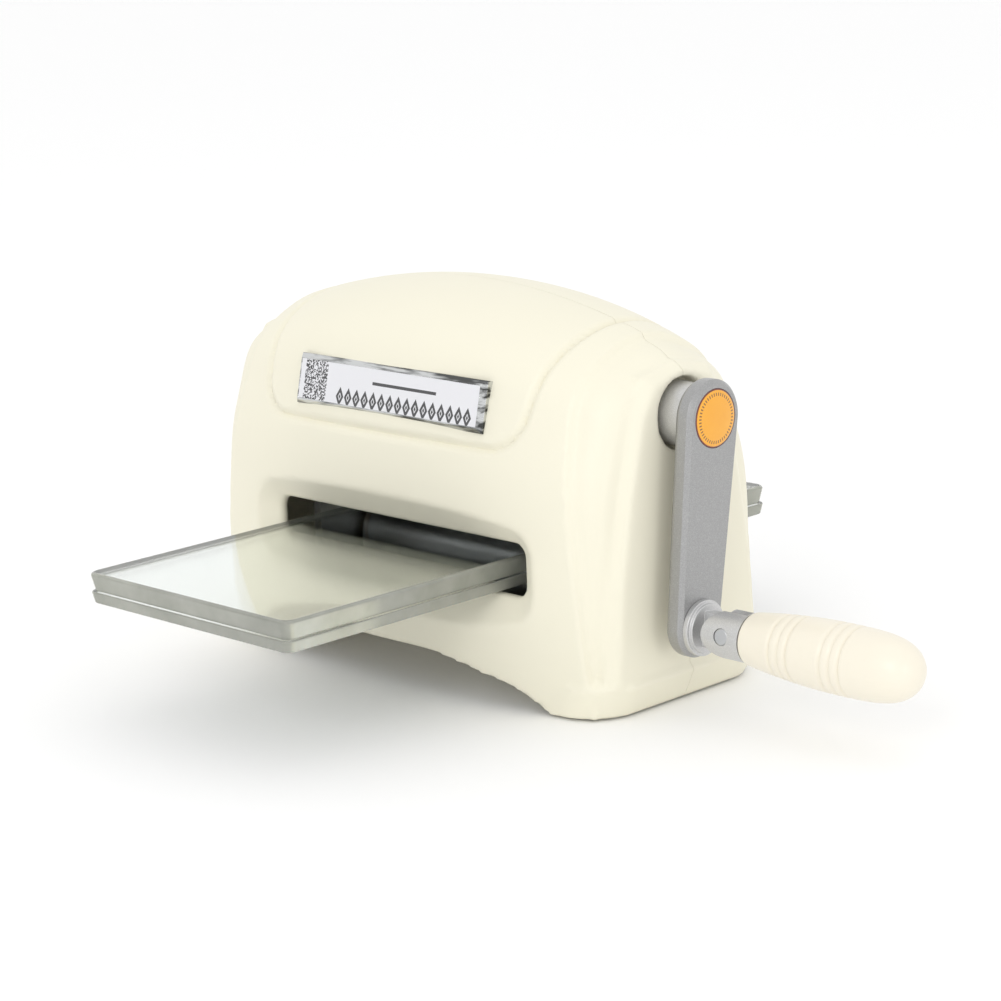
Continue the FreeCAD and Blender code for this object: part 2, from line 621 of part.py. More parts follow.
def grip():
    """Turned grip: swelling body, domed tip and two groups of ring grooves."""
    start = SLEEVE_END + 0.3
    length = GRIP_TIP - start
    shares = (0.0, 0.1, 0.22, 0.36, 0.5, 0.64, 0.76, 0.85, 0.91, 0.95, 0.98, 0.995, 1.0)
    stations = [start + length * share for share in shares]
    curve = Part.BSplineCurve()
    curve.interpolate([V(x, 0, LOW_Z + grip_radius(x)) for x in stations])
    axis = [V(GRIP_TIP, 0, LOW_Z), V(start, 0, LOW_Z), V(start, 0, LOW_Z + grip_radius(start))]
    edges = [curve.toShape()] + [Part.makeLine(a, b) for a, b in zip(axis, axis[1:])]
    body = Part.Face(Part.Wire(edges)).revolve(V(0, 0, LOW_Z), V(1, 0, 0), 360)
    for x in RINGS:
        foot = LOW_Z + grip_radius(x) - RING_DEPTH
        notch = [V(x, 0, foot), V(x - 0.7, 0, foot + 1.4), V(x + 0.7, 0, foot + 1.4)]
        cutter = Part.Face(polygon(notch)).revolve(V(0, 0, LOW_Z), V(1, 0, 0), 360)
        body = body.cut(cutter)
    body = body.cut(rod_x(SPINDLE_R + 0.06, 80, SPINDLE_END + 0.5, z=LOW_Z))
    return body.cut(rod_x(CAP_R + 0.3, SPINDLE_END - 0.3, SPINDLE_END + 2.6, z=LOW_Z))


# ---------------------------------------------------------------- pressing plates
def pressing_plate(z0, thickness, draft, chamfer):
    """Clear plate with rounded corners; its sides lean by draft over its thickness."""
    def outline(z, shrink):
        half, y0, y1 = PLATE_W / 2 - shrink, PLATE_Y + shrink, PLATE_Y + PLATE_L - shrink
        slab = rounded_edges(box(-half, half, y0, y1, z, z + 1), PLATE_ROUND, along(2))
        return min(slab.Faces, key=lambda f: f.CenterOfMass.z).OuterWire
    top = z0 + thickness
    lower = Part.makeLoft([outline(z0, draft), outline(top - chamfer, 0.0)], True, True)
    if chamfer == 0:
        return lower
    return lower.fuse(Part.makeLoft([outline(top - chamfer, 0.0), outline(top, chamfer)], True, True))


# ---------------------------------------------------------------- build
os.makedirs("parts", exist_ok=True)
outside = casing_outside()
whole = casing()
save("front_shell", front_shell(whole))
save("rear_shell", rear_shell(whole))
save("shell_screws", shell_screws())
save("bottom_cover", bottom_cover())
save("rubber_feet", rubber_feet())
save("label_plate", label_plate(outside))
save("right_side_plate", side_plate(True))
save("left_side_plate", side_plate(False).mirror(V(0, 0, 0), V(1, 0, 0)))
save("tie_rods", tie_rods())
save("frame_screws", frame_screws())
save("roller_bushes", roller_bushes())
save("crank_bushes", crank_bushes())
save("upper_roller", roller(UPPER_R, UPPER_Z, UPPER_END))
save("lower_roller", roller(LOWER_R, LOWER_Z, LOWER_END))
save("upper_roller_clips", roller_clips(UPPER_Z, UPPER_END))
save("lower_roller_clips", roller_clips(LOWER_Z, LOWER_END))
save("upper_roller_gear", gear(UPPER_TEETH, GEAR_A, UPPER_Z, -90.0, JOURNAL_R))
save("lower_roller_gear", gear(LOWER_TEETH, GEAR_A, LOWER_Z, 90.0 + 180.0 / LOWER_TEETH, JOURNAL_R))
save("drive_gear", drive_gear())
save("crank_pinion", gear(PINION_TEETH, GEAR_B, CRANK_Z, -90.0, JOURNAL_R, 5.4, 3.0))
save("crank_shaft", lean(crank_shaft()))
save("crank_clip", clip(FRAME_X - 2.8, CRANK_Z))
save("crank_hub", lean(crank_hub()))
save("crank_arm", lean(crank_arm()))
save("arm_screw", lean(arm_screw()))
save("badge", lean(badge()))
save("handle_lug", lean(handle_lug()))
save("fold_pin", lean(fold_pin()))
save("handle_sleeve", lean(handle_sleeve()))
save("grip_spindle", lean(grip_spindle()))
save("grip_cap", lean(grip_cap()))
save("grip", lean(grip()))
save("lower_plate", pressing_plate(PLATE_Z, LOWER_T, 0.5, 0.0))
save("upper_plate", pressing_plate(PLATE_Z + LOWER_T + PAPER_GAP, UPPER_T, 0.7, 0.5))
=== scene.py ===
# %% [markdown]
# # A hand-cranked die cutting machine
#
# The machine is a small tabletop press: a moulded casing with two rollers inside, a stack of clear
# pressing plates that is rolled through it, and a folding crank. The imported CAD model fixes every
# size and place. This lesson gives it soft moulded edges, turned grips, glossy plates and
# materials, and never moves a CAD part.

# %% Load the frame
import bpy
import bmesh
import json
from math import cos, exp, hypot, pi, radians, sin, sqrt
from mathutils import Matrix, Vector


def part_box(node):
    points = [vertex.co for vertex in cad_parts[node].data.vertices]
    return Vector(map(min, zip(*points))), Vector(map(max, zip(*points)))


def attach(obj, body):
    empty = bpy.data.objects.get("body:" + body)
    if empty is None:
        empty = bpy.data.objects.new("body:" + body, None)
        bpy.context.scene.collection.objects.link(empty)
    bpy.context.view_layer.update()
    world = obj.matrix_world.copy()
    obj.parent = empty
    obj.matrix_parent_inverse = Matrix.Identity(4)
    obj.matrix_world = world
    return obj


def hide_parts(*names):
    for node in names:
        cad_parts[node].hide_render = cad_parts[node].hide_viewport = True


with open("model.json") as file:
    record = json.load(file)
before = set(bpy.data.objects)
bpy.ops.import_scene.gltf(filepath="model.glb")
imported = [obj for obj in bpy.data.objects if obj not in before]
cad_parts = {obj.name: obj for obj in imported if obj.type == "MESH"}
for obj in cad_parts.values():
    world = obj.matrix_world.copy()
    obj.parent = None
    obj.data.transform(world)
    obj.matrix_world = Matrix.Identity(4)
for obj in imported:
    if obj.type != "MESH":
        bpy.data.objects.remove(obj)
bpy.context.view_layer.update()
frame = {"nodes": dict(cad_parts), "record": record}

MM = 0.001
nodes = frame["nodes"]

# %% [markdown]
# ## The camera
#
# The camera comes first, so that every later step can be judged in the same picture. It stands to
# the right of the front, a little above the machine, and leans by two degrees. Its place is
# worked out from the direction that it looks in and the point that it looks at.

# %% Camera
AZIMUTH, ELEVATION, ROLL = radians(45.23), radians(13.4), radians(-2.03)
DISTANCE = 0.7145
TARGET_SIDE, TARGET_HEIGHT = 0.0031, 0.0388
SENSOR = 36.0
FOCAL = 103.6


def add_camera():
    """Camera that looks along the chosen azimuth and elevation, with a slight roll."""
    ahead = Vector((-sin(AZIMUTH) * cos(ELEVATION), cos(AZIMUTH) * cos(ELEVATION), -sin(ELEVATION)))
    level = Vector((cos(AZIMUTH), sin(AZIMUTH), 0))
    above = level.cross(ahead)
    right = level * cos(ROLL) + above * sin(ROLL)
    up = above * cos(ROLL) - level * sin(ROLL)
    place = level * TARGET_SIDE + Vector((0, 0, TARGET_HEIGHT)) - ahead * DISTANCE
    data = bpy.data.cameras.new("camera")
    data.lens = FOCAL
    data.sensor_width = SENSOR
    data.clip_start = 0.01
    camera = bpy.data.objects.new("camera", data)
    turn = Matrix((right, up, -ahead)).transposed()
    camera.matrix_world = Matrix.Translation(place) @ turn.to_4x4()
    bpy.context.scene.collection.objects.link(camera)
    bpy.context.scene.camera = camera
    return place


print("camera at", [round(value, 3) for value in add_camera()])

# %% [markdown]
# ## Floor and light
#
# The machine stands in a bright white studio. A large plane is enough for the floor. The world
# gives an even fill, a big soft lamp above the front models the casing, and a weaker one on the
# right puts long highlights on the crank. All lamps are large, so the shadows have soft edges.

# %% Studio
WHITE = (1.0, 1.0, 1.0, 1.0)


def add_floor():
    """Pale floor, which isn't part of the object."""
    bm = bmesh.new()
    bmesh.ops.create_grid(bm, x_segments=1, y_segments=1, size=4.0)
    mesh = bpy.data.meshes.new("floor")
    bm.to_mesh(mesh)
    bm.free()
    floor = bpy.data.objects.new("floor", mesh)
    bpy.context.scene.collection.objects.link(floor)
    material = bpy.data.materials.new("floor_paper")
    material.use_nodes = True
    shader = material.node_tree.nodes["Principled BSDF"]
    shader.inputs["Base Color"].default_value = (0.98, 0.98, 0.98, 1)
    shader.inputs["Roughness"].default_value = 0.7
    mesh.materials.append(material)


def add_lamp(name, place, aim, size, power):
    """Square soft lamp that points at aim."""
    data = bpy.data.lights.new(name, "AREA")
    data.size = size
    data.energy = power
    lamp = bpy.data.objects.new(name, data)
    lamp.location = place
    lamp.rotation_euler = (Vector(aim) - Vector(place)).to_track_quat("-Z", "Y").to_euler()
    bpy.context.scene.collection.objects.link(lamp)


def add_studio():
    scene = bpy.context.scene
    world = bpy.data.worlds.new("studio")
    world.use_nodes = True
    world.node_tree.nodes["Background"].inputs["Color"].default_value = WHITE
    world.node_tree.nodes["Background"].inputs["Strength"].default_value = 1.0
    scene.world = world
    scene.view_settings.view_transform = "Standard"
    middle = (0, 0, 0.05)
    add_lamp("key", (0.55, -1.1, 0.7), middle, 0.5, 2.5)
    add_lamp("side", (1.2, -0.2, 0.3), middle, 0.3, 0.8)
    add_lamp("top", (0.0, 0.1, 1.3), middle, 0.8, 0.6)


add_floor()
add_studio()
print("lamps:", len(bpy.data.lights))

# %% [markdown]
# ## Effects shared by the materials
#
# Moulded plastic, cast paint and rolled steel all have a surface that isn't perfectly even. Three
# effects are built once as node groups, and each material places them with its own numbers:
# `fine_grain` is a tiny random texture for bump and roughness, `tone_drift` makes the colour
# wander slightly between two tones, and `tool_lines` draws the fine parallel lines that turning
# and grinding leave. They all read the object's own coordinates, in metres.

# %% A helper that starts a node group
def start_group(name, inputs, outputs):
    """Empty shader group with float and colour sockets; returns its tree and its two ends."""
    tree = bpy.data.node_groups.new(name, "ShaderNodeTree")
    for label, kind, value in inputs:
        socket = tree.interface.new_socket(label, in_out="INPUT", socket_type=kind)
        socket.default_value = value
    for label, kind in outputs:
        tree.interface.new_socket(label, in_out="OUTPUT", socket_type=kind)
    return tree, tree.nodes.new("NodeGroupInput"), tree.nodes.new("NodeGroupOutput")


def math_node(tree, operation, first, second):
    """Math node on two values, each a socket or a number."""
    node = tree.nodes.new("ShaderNodeMath")
    node.operation = operation
    for slot, value in zip(node.inputs, (first, second)):
        if isinstance(value, (int, float)):
            slot.default_value = value
        else:
            tree.links.new(value, slot)
    return node.outputs[0]


def spread(tree, value, low, high):
    """Maps 0..1 to low..high."""
    node = tree.nodes.new("ShaderNodeMapRange")
    tree.links.new(value, node.inputs["Value"])
    for label, bound in (("To Min", low), ("To Max", high)):
        if isinstance(bound, (int, float)):
            node.inputs[label].default_value = bound
        else:
            tree.links.new(bound, node.inputs[label])
    return node.outputs["Result"]


# %% The three effects
FLOAT, COLOUR = "NodeSocketFloat", "NodeSocketColor"


def noise(tree, vector, scale, detail=2.0, rough=0.5):
    """Noise texture's value on a vector."""
    node = tree.nodes.new("ShaderNodeTexNoise")
    tree.links.new(vector, node.inputs["Vector"])
    node.inputs["Detail"].default_value = detail
    node.inputs["Roughness"].default_value = rough
    if isinstance(scale, (int, float)):
        node.inputs["Scale"].default_value = scale
    else:
        tree.links.new(scale, node.inputs["Scale"])
    return node.outputs["Fac"]


def build_fine_grain():
    tree, entry, end = start_group(
        "fine_grain",
        [("Scale", FLOAT, 2000.0), ("Roughness", FLOAT, 0.4), ("Variation", FLOAT, 0.08)],
        [("Height", FLOAT), ("Roughness", FLOAT)])
    place = tree.nodes.new("ShaderNodeTexCoord").outputs["Object"]
    grain = noise(tree, place, entry.outputs["Scale"], 3.0, 0.6)
    cloud = noise(tree, place, 90.0, 2.0)
    half = math_node(tree, "MULTIPLY", entry.outputs["Variation"], 0.5)
    low = math_node(tree, "SUBTRACT", entry.outputs["Roughness"], half)
    high = math_node(tree, "ADD", entry.outputs["Roughness"], half)
    tree.links.new(grain, end.inputs["Height"])
    tree.links.new(spread(tree, cloud, low, high), end.inputs["Roughness"])
    return tree


def build_tone_drift():
    tree, entry, end = start_group(
        "tone_drift",
        [("Light", COLOUR, WHITE), ("Deep", COLOUR, WHITE), ("Scale", FLOAT, 30.0)],
        [("Color", COLOUR)])
    place = tree.nodes.new("ShaderNodeTexCoord").outputs["Object"]
    drift = noise(tree, place, entry.outputs["Scale"], 4.0, 0.55)
    mix = tree.nodes.new("ShaderNodeMix")
    mix.data_type = "RGBA"
    tree.links.new(drift, mix.inputs["Factor"])
    tree.links.new(entry.outputs["Light"], mix.inputs["A"])
    tree.links.new(entry.outputs["Deep"], mix.inputs["B"])
    tree.links.new(mix.outputs["Result"], end.inputs["Color"])
    return tree


def build_tool_lines():
    tree, entry, end = start_group(
        "tool_lines",
        [("Along X", FLOAT, 4000.0), ("Along Y", FLOAT, 60.0), ("Along Z", FLOAT, 60.0)],
        [("Lines", FLOAT)])
    place = tree.nodes.new("ShaderNodeTexCoord").outputs["Object"]
    join = tree.nodes.new("ShaderNodeCombineXYZ")
    for slot, label in zip(join.inputs, ("Along X", "Along Y", "Along Z")):
        tree.links.new(entry.outputs[label], slot)
    stretch = tree.nodes.new("ShaderNodeVectorMath")
    stretch.operation = "MULTIPLY"
    tree.links.new(place, stretch.inputs[0])
    tree.links.new(join.outputs[0], stretch.inputs[1])
    tree.links.new(noise(tree, stretch.outputs[0], 1.0, 3.0, 0.6), end.inputs["Lines"])
    return tree


FINE_GRAIN = build_fine_grain()
TONE_DRIFT = build_tone_drift()
TOOL_LINES = build_tool_lines()
print("groups:", [group.name for group in bpy.data.node_groups])

# %% [markdown]
# ## Materials
#
# Each finish is a short function. Numbers that are the same all over a surface go straight onto
# the shader's sockets. Only what changes over the surface, such as a drifting tone, a rougher
# patch or a bump, comes through nodes.

# %% A helper that starts a material
def start_material(name, metallic=0.0, **constants):
    """New material with its shader; the constants are set on the shader's own sockets."""
    material = bpy.data.materials.new(name)
    material.use_nodes = True
    shader = material.node_tree.nodes["Principled BSDF"]
    shader.inputs["Metallic"].default_value = metallic
    for label, value in constants.items():
        shader.inputs[label.replace("_", " ")].default_value = value
    return material, material.node_tree, shader


def place_group(tree, group, **values):
    """Places a shared effect in a material, with its own values."""
    node = tree.nodes.new("ShaderNodeGroup")
    node.node_tree = group
    for label, value in values.items():
        node.inputs[label.replace("_", " ")].default_value = value
    return node


def add_bump(tree, shader, height, distance):
    """Bump from a height, with a distance in metres."""
    bump = tree.nodes.new("ShaderNodeBump")
    bump.inputs["Distance"].default_value = distance
    tree.links.new(height, bump.inputs["Height"])
    tree.links.new(bump.outputs["Normal"], shader.inputs["Normal"])


def tinted(tree, shader, light, deep, scale=30.0):
    """Base colour that drifts between two tones."""
    drift = place_group(tree, TONE_DRIFT, Light=(*light, 1), Deep=(*deep, 1), Scale=scale)
    tree.links.new(drift.outputs["Color"], shader.inputs["Base Color"])


def grained(tree, shader, roughness, variation, scale, depth):
    """Roughness that varies and a fine bump."""
    grain = place_group(tree, FINE_GRAIN, Scale=scale, Roughness=roughness, Variation=variation)
    tree.links.new(grain.outputs["Roughness"], shader.inputs["Roughness"])
    add_bump(tree, shader, grain.outputs["Height"], depth)


# %% Plastics and rubber
def casing_cream():
    """Warm cream moulded plastic with a fine spark-eroded texture."""
    material, tree, shader = start_material("casing_cream", Specular_IOR_Level=0.45)
    tinted(tree, shader, (0.845, 0.812, 0.672), (0.826, 0.793, 0.648), 22.0)
    grained(tree, shader, 0.46, 0.08, 2600.0, 0.00002)
    return material


def grip_cream():
    """Smoother cream plastic of the grip, a little cooler and glossier."""
    material, tree, shader = start_material("grip_cream", Coat_Weight=0.12, Coat_Roughness=0.25)
    tinted(tree, shader, (0.865, 0.815, 0.695), (0.84, 0.787, 0.66), 60.0)
    grained(tree, shader, 0.36, 0.08, 1800.0, 0.000012)
    return material


def gear_nylon():
    """Natural nylon, slightly waxy."""
    material, tree, shader = start_material("gear_nylon", Subsurface_Weight=0.1)
    tinted(tree, shader, (0.80, 0.79, 0.72), (0.72, 0.70, 0.62), 80.0)
    grained(tree, shader, 0.42, 0.12, 1500.0, 0.00002)
    return material


def foot_rubber():
    """Dark matt rubber."""
    material, tree, shader = start_material("foot_rubber")
    tinted(tree, shader, (0.055, 0.055, 0.056), (0.03, 0.03, 0.031), 120.0)
    grained(tree, shader, 0.82, 0.1, 2500.0, 0.00004)
    return material


# %% Metals
def metal(name, light, deep, roughness, lines, depth, variation=0.1):
    """Bare or painted metal with tool lines along one direction."""
    material, tree, shader = start_material(name, metallic=1.0)
    tinted(tree, shader, light, deep, 45.0)
    grain = place_group(tree, FINE_GRAIN, Scale=2500.0, Roughness=roughness, Variation=variation)
    tree.links.new(grain.outputs["Roughness"], shader.inputs["Roughness"])
    marks = place_group(tree, TOOL_LINES, Along_X=lines[0], Along_Y=lines[1], Along_Z=lines[2])
    add_bump(tree, shader, marks.outputs["Lines"], depth)
    return material


def silver_paint(name, dark, light):
    """Fine metallic silver paint on the cast crank: tiny flakes under a satin lacquer."""
    material, tree, shader = start_material(
        name, metallic=0.78, Coat_Weight=0.25, Coat_Roughness=0.22)
    place = tree.nodes.new("ShaderNodeTexCoord").outputs["Object"]
    flake = tree.nodes.new("ShaderNodeTexVoronoi")
    flake.inputs["Scale"].default_value = 5200.0
    tree.links.new(place, flake.inputs["Vector"])
    mix = tree.nodes.new("ShaderNodeMix")
    mix.data_type = "RGBA"
    mix.inputs["A"].default_value = (dark, dark, dark, 1)
    mix.inputs["B"].default_value = (light, light, light, 1)
    tree.links.new(flake.outputs["Distance"], mix.inputs["Factor"])
    tree.links.new(mix.outputs["Result"], shader.inputs["Base Color"])
    grained(tree, shader, 0.40, 0.06, 3000.0, 0.000012)
    return material


# %% Amber badge
TICK_WAVES, TICK_WIDTH = 46.0, 0.25
TICKS_FROM, TICKS_TO, BADGE_EDGE = 0.76, 0.87, 0.955


def badge_amber(centre, radius):
    """Amber resin with a ring of short dark ticks and a dark red edge."""
    material, tree, shader = start_material("badge_amber", Coat_Weight=0.6, Coat_Roughness=0.04)
    shader.inputs["Roughness"].default_value = 0.25
    place = tree.nodes.new("ShaderNodeTexCoord").outputs["Object"]
    mapping = tree.nodes.new("ShaderNodeMapping")
    mapping.vector_type = "POINT"
    mapping.inputs["Location"].default_value = [-value for value in centre]
    tree.links.new(place, mapping.inputs["Vector"])
    parts = tree.nodes.new("ShaderNodeSeparateXYZ")
    tree.links.new(mapping.outputs["Vector"], parts.inputs[0])
    across, upward = parts.outputs["Y"], parts.outputs["Z"]
    turn = math_node(tree, "ARCTAN2", upward, across)
    square = math_node(tree, "ADD", math_node(tree, "POWER", across, 2.0),
                       math_node(tree, "POWER", upward, 2.0))
    reach = math_node(tree, "DIVIDE", math_node(tree, "SQRT", square, 0.0), radius)
    comb = math_node(tree, "SINE", math_node(tree, "MULTIPLY", turn, TICK_WAVES), 0.0)
    teeth = math_node(tree, "GREATER_THAN", comb, TICK_WIDTH)
    inner = math_node(tree, "GREATER_THAN", reach, TICKS_FROM)
    outer = math_node(tree, "LESS_THAN", reach, TICKS_TO)
    ticks = math_node(tree, "MULTIPLY", teeth, math_node(tree, "MULTIPLY", inner, outer))
    edge = math_node(tree, "GREATER_THAN", reach, BADGE_EDGE)
    drift = place_group(tree, TONE_DRIFT, Light=(0.90, 0.43, 0.02, 1), Deep=(0.82, 0.34, 0.01, 1),
                        Scale=140.0)
    dark = tree.nodes.new("ShaderNodeMix")
    dark.data_type = "RGBA"
    dark.inputs["B"].default_value = (0.10, 0.045, 0.02, 1)
    tree.links.new(math_node(tree, "MULTIPLY", ticks, 0.85), dark.inputs["Factor"])
    tree.links.new(drift.outputs["Color"], dark.inputs["A"])
    rim = tree.nodes.new("ShaderNodeMix")
    rim.data_type = "RGBA"
    rim.inputs["B"].default_value = (0.16, 0.03, 0.02, 1)
    tree.links.new(edge, rim.inputs["Factor"])
    tree.links.new(dark.outputs["Result"], rim.inputs["A"])
    tree.links.new(rim.outputs["Result"], shader.inputs["Base Color"])
    return material


# %% Clear plates
def clear_acrylic():
    """Polished clear plate with a faint green tint and a few fine scuffs."""
    material, tree, shader = start_material(
        "clear_acrylic", Transmission_Weight=1.0, IOR=1.49)
    tinted(tree, shader, (0.965, 0.985, 0.972), (0.945, 0.972, 0.955), 20.0)
    marks = place_group(tree, TOOL_LINES, Along_X=300.0, Along_Y=40.0, Along_Z=300.0)
    rough = spread(tree, marks.outputs["Lines"], 0.01, 0.06)
    tree.links.new(rough, shader.inputs["Roughness"])
    return material


def acrylic_edge():
    """Moulded edge of a plate: half clear and half milky grey-green, with painted reflections that
    wander between near white and dark.
    """
    material, tree, shader = start_material(
        "acrylic_edge", Transmission_Weight=0.6, IOR=1.49, Coat_Weight=0.5, Coat_Roughness=0.05)
    # grey-green tint of the edge, plus painted reflections: patches of near white and dark
    tinted(tree, shader, (0.97, 0.98, 0.88), (0.40, 0.42, 0.34), 70.0)
    marks = place_group(tree, TOOL_LINES, Along_X=120.0, Along_Y=120.0, Along_Z=900.0)
    tree.links.new(spread(tree, marks.outputs["Lines"], 0.05, 0.3), shader.inputs["Roughness"])
    return material


FINISH = {
    "casing_cream": casing_cream(),
    "grip_cream": grip_cream(),
    "gear_nylon": gear_nylon(),
    "rubber": foot_rubber(),
    "silver_paint": silver_paint("silver_paint", 0.29, 0.45),
    "clear_acrylic": clear_acrylic(),
    "steel": metal("turned_steel", (0.56, 0.57, 0.58), (0.46, 0.47, 0.48), 0.30,
                   (3500.0, 60.0, 60.0), 0.00001),
    "zinc_plate": metal("zinc_plate", (0.66, 0.66, 0.63), (0.52, 0.53, 0.52), 0.38,
                        (60.0, 900.0, 60.0), 0.00001, 0.2),
    "bronze": metal("sintered_bronze", (0.55, 0.36, 0.17), (0.42, 0.26, 0.12), 0.45,
                    (900.0, 900.0, 900.0), 0.00002),
}
print("finishes:", sorted(FINISH))

# %% [markdown]
# ## Working on a copy of a CAD node
#
# A CAD node's mesh is loose triangles and has to stay as it is. A copy of it can be worked on: its
# doubled corners are merged, its flat faces are joined, and its sharp edges get a small bevel with
# three segments, because no cast, turned or moulded edge is truly sharp, and a bevel is what
# catches the light.

# %% Copy, soften and finish
WELD = 0.000002
SHARP = radians(28)
ROUNDED = 50      # degrees up to which round pieces stay smooth


def cad_copy(name):
    """Merged copy of a CAD node, as a bmesh with its flat faces joined."""
    bm = bmesh.new()
    bm.from_mesh(nodes[name].data)
    bmesh.ops.remove_doubles(bm, verts=bm.verts, dist=WELD)
    bmesh.ops.dissolve_degenerate(bm, edges=bm.edges, dist=WELD)
    bmesh.ops.dissolve_limit(bm, angle_limit=radians(0.6), verts=bm.verts, edges=bm.edges)
    return bm


def soften(bm, width, segments=3, sharp=SHARP):
    """Bevels every edge that turns by more than sharp."""
    edges = [edge for edge in bm.edges if edge.is_manifold and edge.calc_face_angle(0) > sharp]
    bmesh.ops.bevel(bm, geom=edges, offset=width, offset_type="OFFSET", segments=segments,
                    profile=0.5, affect="EDGES", clamp_overlap=True, material=-1)


def finish_piece(bm, name, body, finish, replaces=(), smooth=35):
    """Turns a bmesh into a smooth-shaded piece that rides on a body."""
    for face in bm.faces:
        face.smooth = True
    mesh = bpy.data.meshes.new(name)
    bm.to_mesh(mesh)
    bm.free()
    mesh.set_sharp_from_angle(angle=radians(smooth))
    piece = bpy.data.objects.new(name, mesh)
    bpy.context.scene.collection.objects.link(piece)
    mesh.materials.append(FINISH[finish])
    level = piece.modifiers.new("even_shading", "WEIGHTED_NORMAL")
    level.keep_sharp = True
    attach(piece, body)
    if replaces:
        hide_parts(*replaces)
    print(name, "faces:", len(mesh.polygons))
    return piece


# %% [markdown]
# ## The casing
#
# The casing is moulded in two halves that meet at a seam all round the middle. Its steps, pads and
# recesses all run into each other with soft fillets, which is hard to bevel edge by edge. So the
# two CAD shells are taken together, given one even skin of small squares with a voxel Remesh, and
# relaxed with Smooth, which takes the sharpness off every edge. The skin is dense enough to press
# in the shallow groove round the label. Then it is parted again at the seam.

# %% One even skin
VOXEL = 0.8 * MM
RELAX_STEPS = 2


def casing_skin():
    """Both shells as one remeshed and relaxed skin, as a bmesh."""
    bm = bmesh.new()
    for name in ("front_shell", "rear_shell"):
        bm.from_mesh(nodes[name].data)
    bmesh.ops.remove_doubles(bm, verts=bm.verts, dist=WELD)
    mesh = bpy.data.meshes.new("skin_source")
    bm.to_mesh(mesh)
    bm.free()
    source = bpy.data.objects.new("skin_source", mesh)
    bpy.context.scene.collection.objects.link(source)
    remesh = source.modifiers.new("skin", "REMESH")
    remesh.mode = "VOXEL"
    remesh.voxel_size = VOXEL
    relax = source.modifiers.new("relax", "SMOOTH")
    relax.factor = 0.5
    relax.iterations = RELAX_STEPS
    evaluated = source.evaluated_get(bpy.context.evaluated_depsgraph_get())
    skin = bmesh.new()
    skin.from_mesh(evaluated.to_mesh())
    evaluated.to_mesh_clear()
    bpy.data.objects.remove(source)
    return skin


skin = casing_skin()
print("skin faces:", len(skin.faces))

# %% [markdown]
# The groove follows a rounded rectangle that starts below the label and runs up over the crown.
# How far a point lies from that outline is a short formula, and the point moves inwards by a
# smooth bump of that distance.

# %% Groove round the label
CASING_X = -2.5 * MM
GROOVE_FOOT = 62.0 * MM
GROOVE_HALF = 43.5 * MM
GROOVE_FLARE = 0.16
GROOVE_ROUND = 8.0 * MM
GROOVE_DEPTH = 1.1 * MM
GROOVE_WIDTH = 0.8 * MM
GROOVE_REACH = 3
BELOW_GROOVE = 4.0 * MM
FACING_OUT = 0.2
CROWN = 45.0 * MM


def outline_distance(x, z):
    """Distance from the groove's centre line, negative inside it."""
    half = GROOVE_HALF + GROOVE_FLARE * (z - GROOVE_FOOT)
    side = abs(x - CASING_X) - (half - GROOVE_ROUND)
    down = (GROOVE_FOOT + GROOVE_ROUND) - z
    if side > 0 and down > 0:
        return hypot(side, down) - GROOVE_ROUND
    return max(side, down) - GROOVE_ROUND


def press_groove(bm):
    """Presses the groove into the outside of the skin."""
    bm.normal_update()
    for vert in bm.verts:
        outward = vert.normal.dot(Vector((0, vert.co.y, vert.co.z - CROWN)).normalized())
        if vert.co.z < GROOVE_FOOT - BELOW_GROOVE or outward < FACING_OUT:
            continue
        away = outline_distance(vert.co.x, vert.co.z) / GROOVE_WIDTH
        if abs(away) < GROOVE_REACH:
            vert.co -= vert.normal * GROOVE_DEPTH * exp(-away * away)


press_groove(skin)

# %% [markdown]
# The two halves are cut from the same skin, so their outsides meet exactly. A very narrow bevel
# along the cut makes the hairline of the seam.

# %% Part the skin at the seam
SEAM_GAP = 0.04 * MM
SEAM_BEVEL = 0.16 * MM


def shell_half(whole, side, name):
    """Front half for side -1, rear half for side +1."""
    bm = whole.copy()
    cut = bmesh.ops.bisect_plane(
        bm, geom=bm.verts[:] + bm.edges[:] + bm.faces[:], dist=WELD,
        plane_co=(0, side * SEAM_GAP, 0), plane_no=(0, -side, 0), clear_outer=True)
    rims = [item for item in cut["geom_cut"] if isinstance(item, bmesh.types.BMEdge)]
    bmesh.ops.holes_fill(bm, edges=rims, sides=0)
    bmesh.ops.bevel(bm, geom=rims, offset=SEAM_BEVEL, offset_type="OFFSET", segments=1,
                    profile=0.5, affect="EDGES", clamp_overlap=True, material=-1)
    print("seam edges:", len(rims))
    finish_piece(bm, name, "casing", "casing_cream", (name,), ROUNDED)


shell_half(skin, -1, "front_shell")
shell_half(skin, 1, "rear_shell")
skin.free()

# %% [markdown]
# ## Crank, hub and clevis
#
# These are castings and turned parts with a clear shape, so the CAD shape is kept and only its
# edges are softened. The arm gets the widest bevel, because its painted edge shows as a bright
# line all round. The hub and the clevis have the same paint with lighter flakes.

# %% Softened copies
SOFTENED = [
    # node, body, finish, bevel in millimetres
    ("crank_hub", "crank", "silver_paint", 0.25),
    ("handle_lug", "crank", "silver_paint", 0.2),
    ("handle_sleeve", "handle", "silver_paint", 0.22),
    ("fold_pin", "handle", "steel", 0.4),
    ("shell_screws", "casing", "zinc_plate", 0.2),
    ("rubber_feet", "casing", "rubber", 0.2),
    ("bottom_cover", "casing", "casing_cream", 0.25),
    ("tie_rods", "casing", "steel", 0.2),
    ("upper_roller", "upper_roller", "steel", 0.2),
    ("lower_roller", "lower_roller", "steel", 0.2),
]

ARM_BACK_ROUND = 1.6 * MM
ARM_EDGE = 0.42 * MM
CLEAR_OF_HOLES = 5.2 * MM


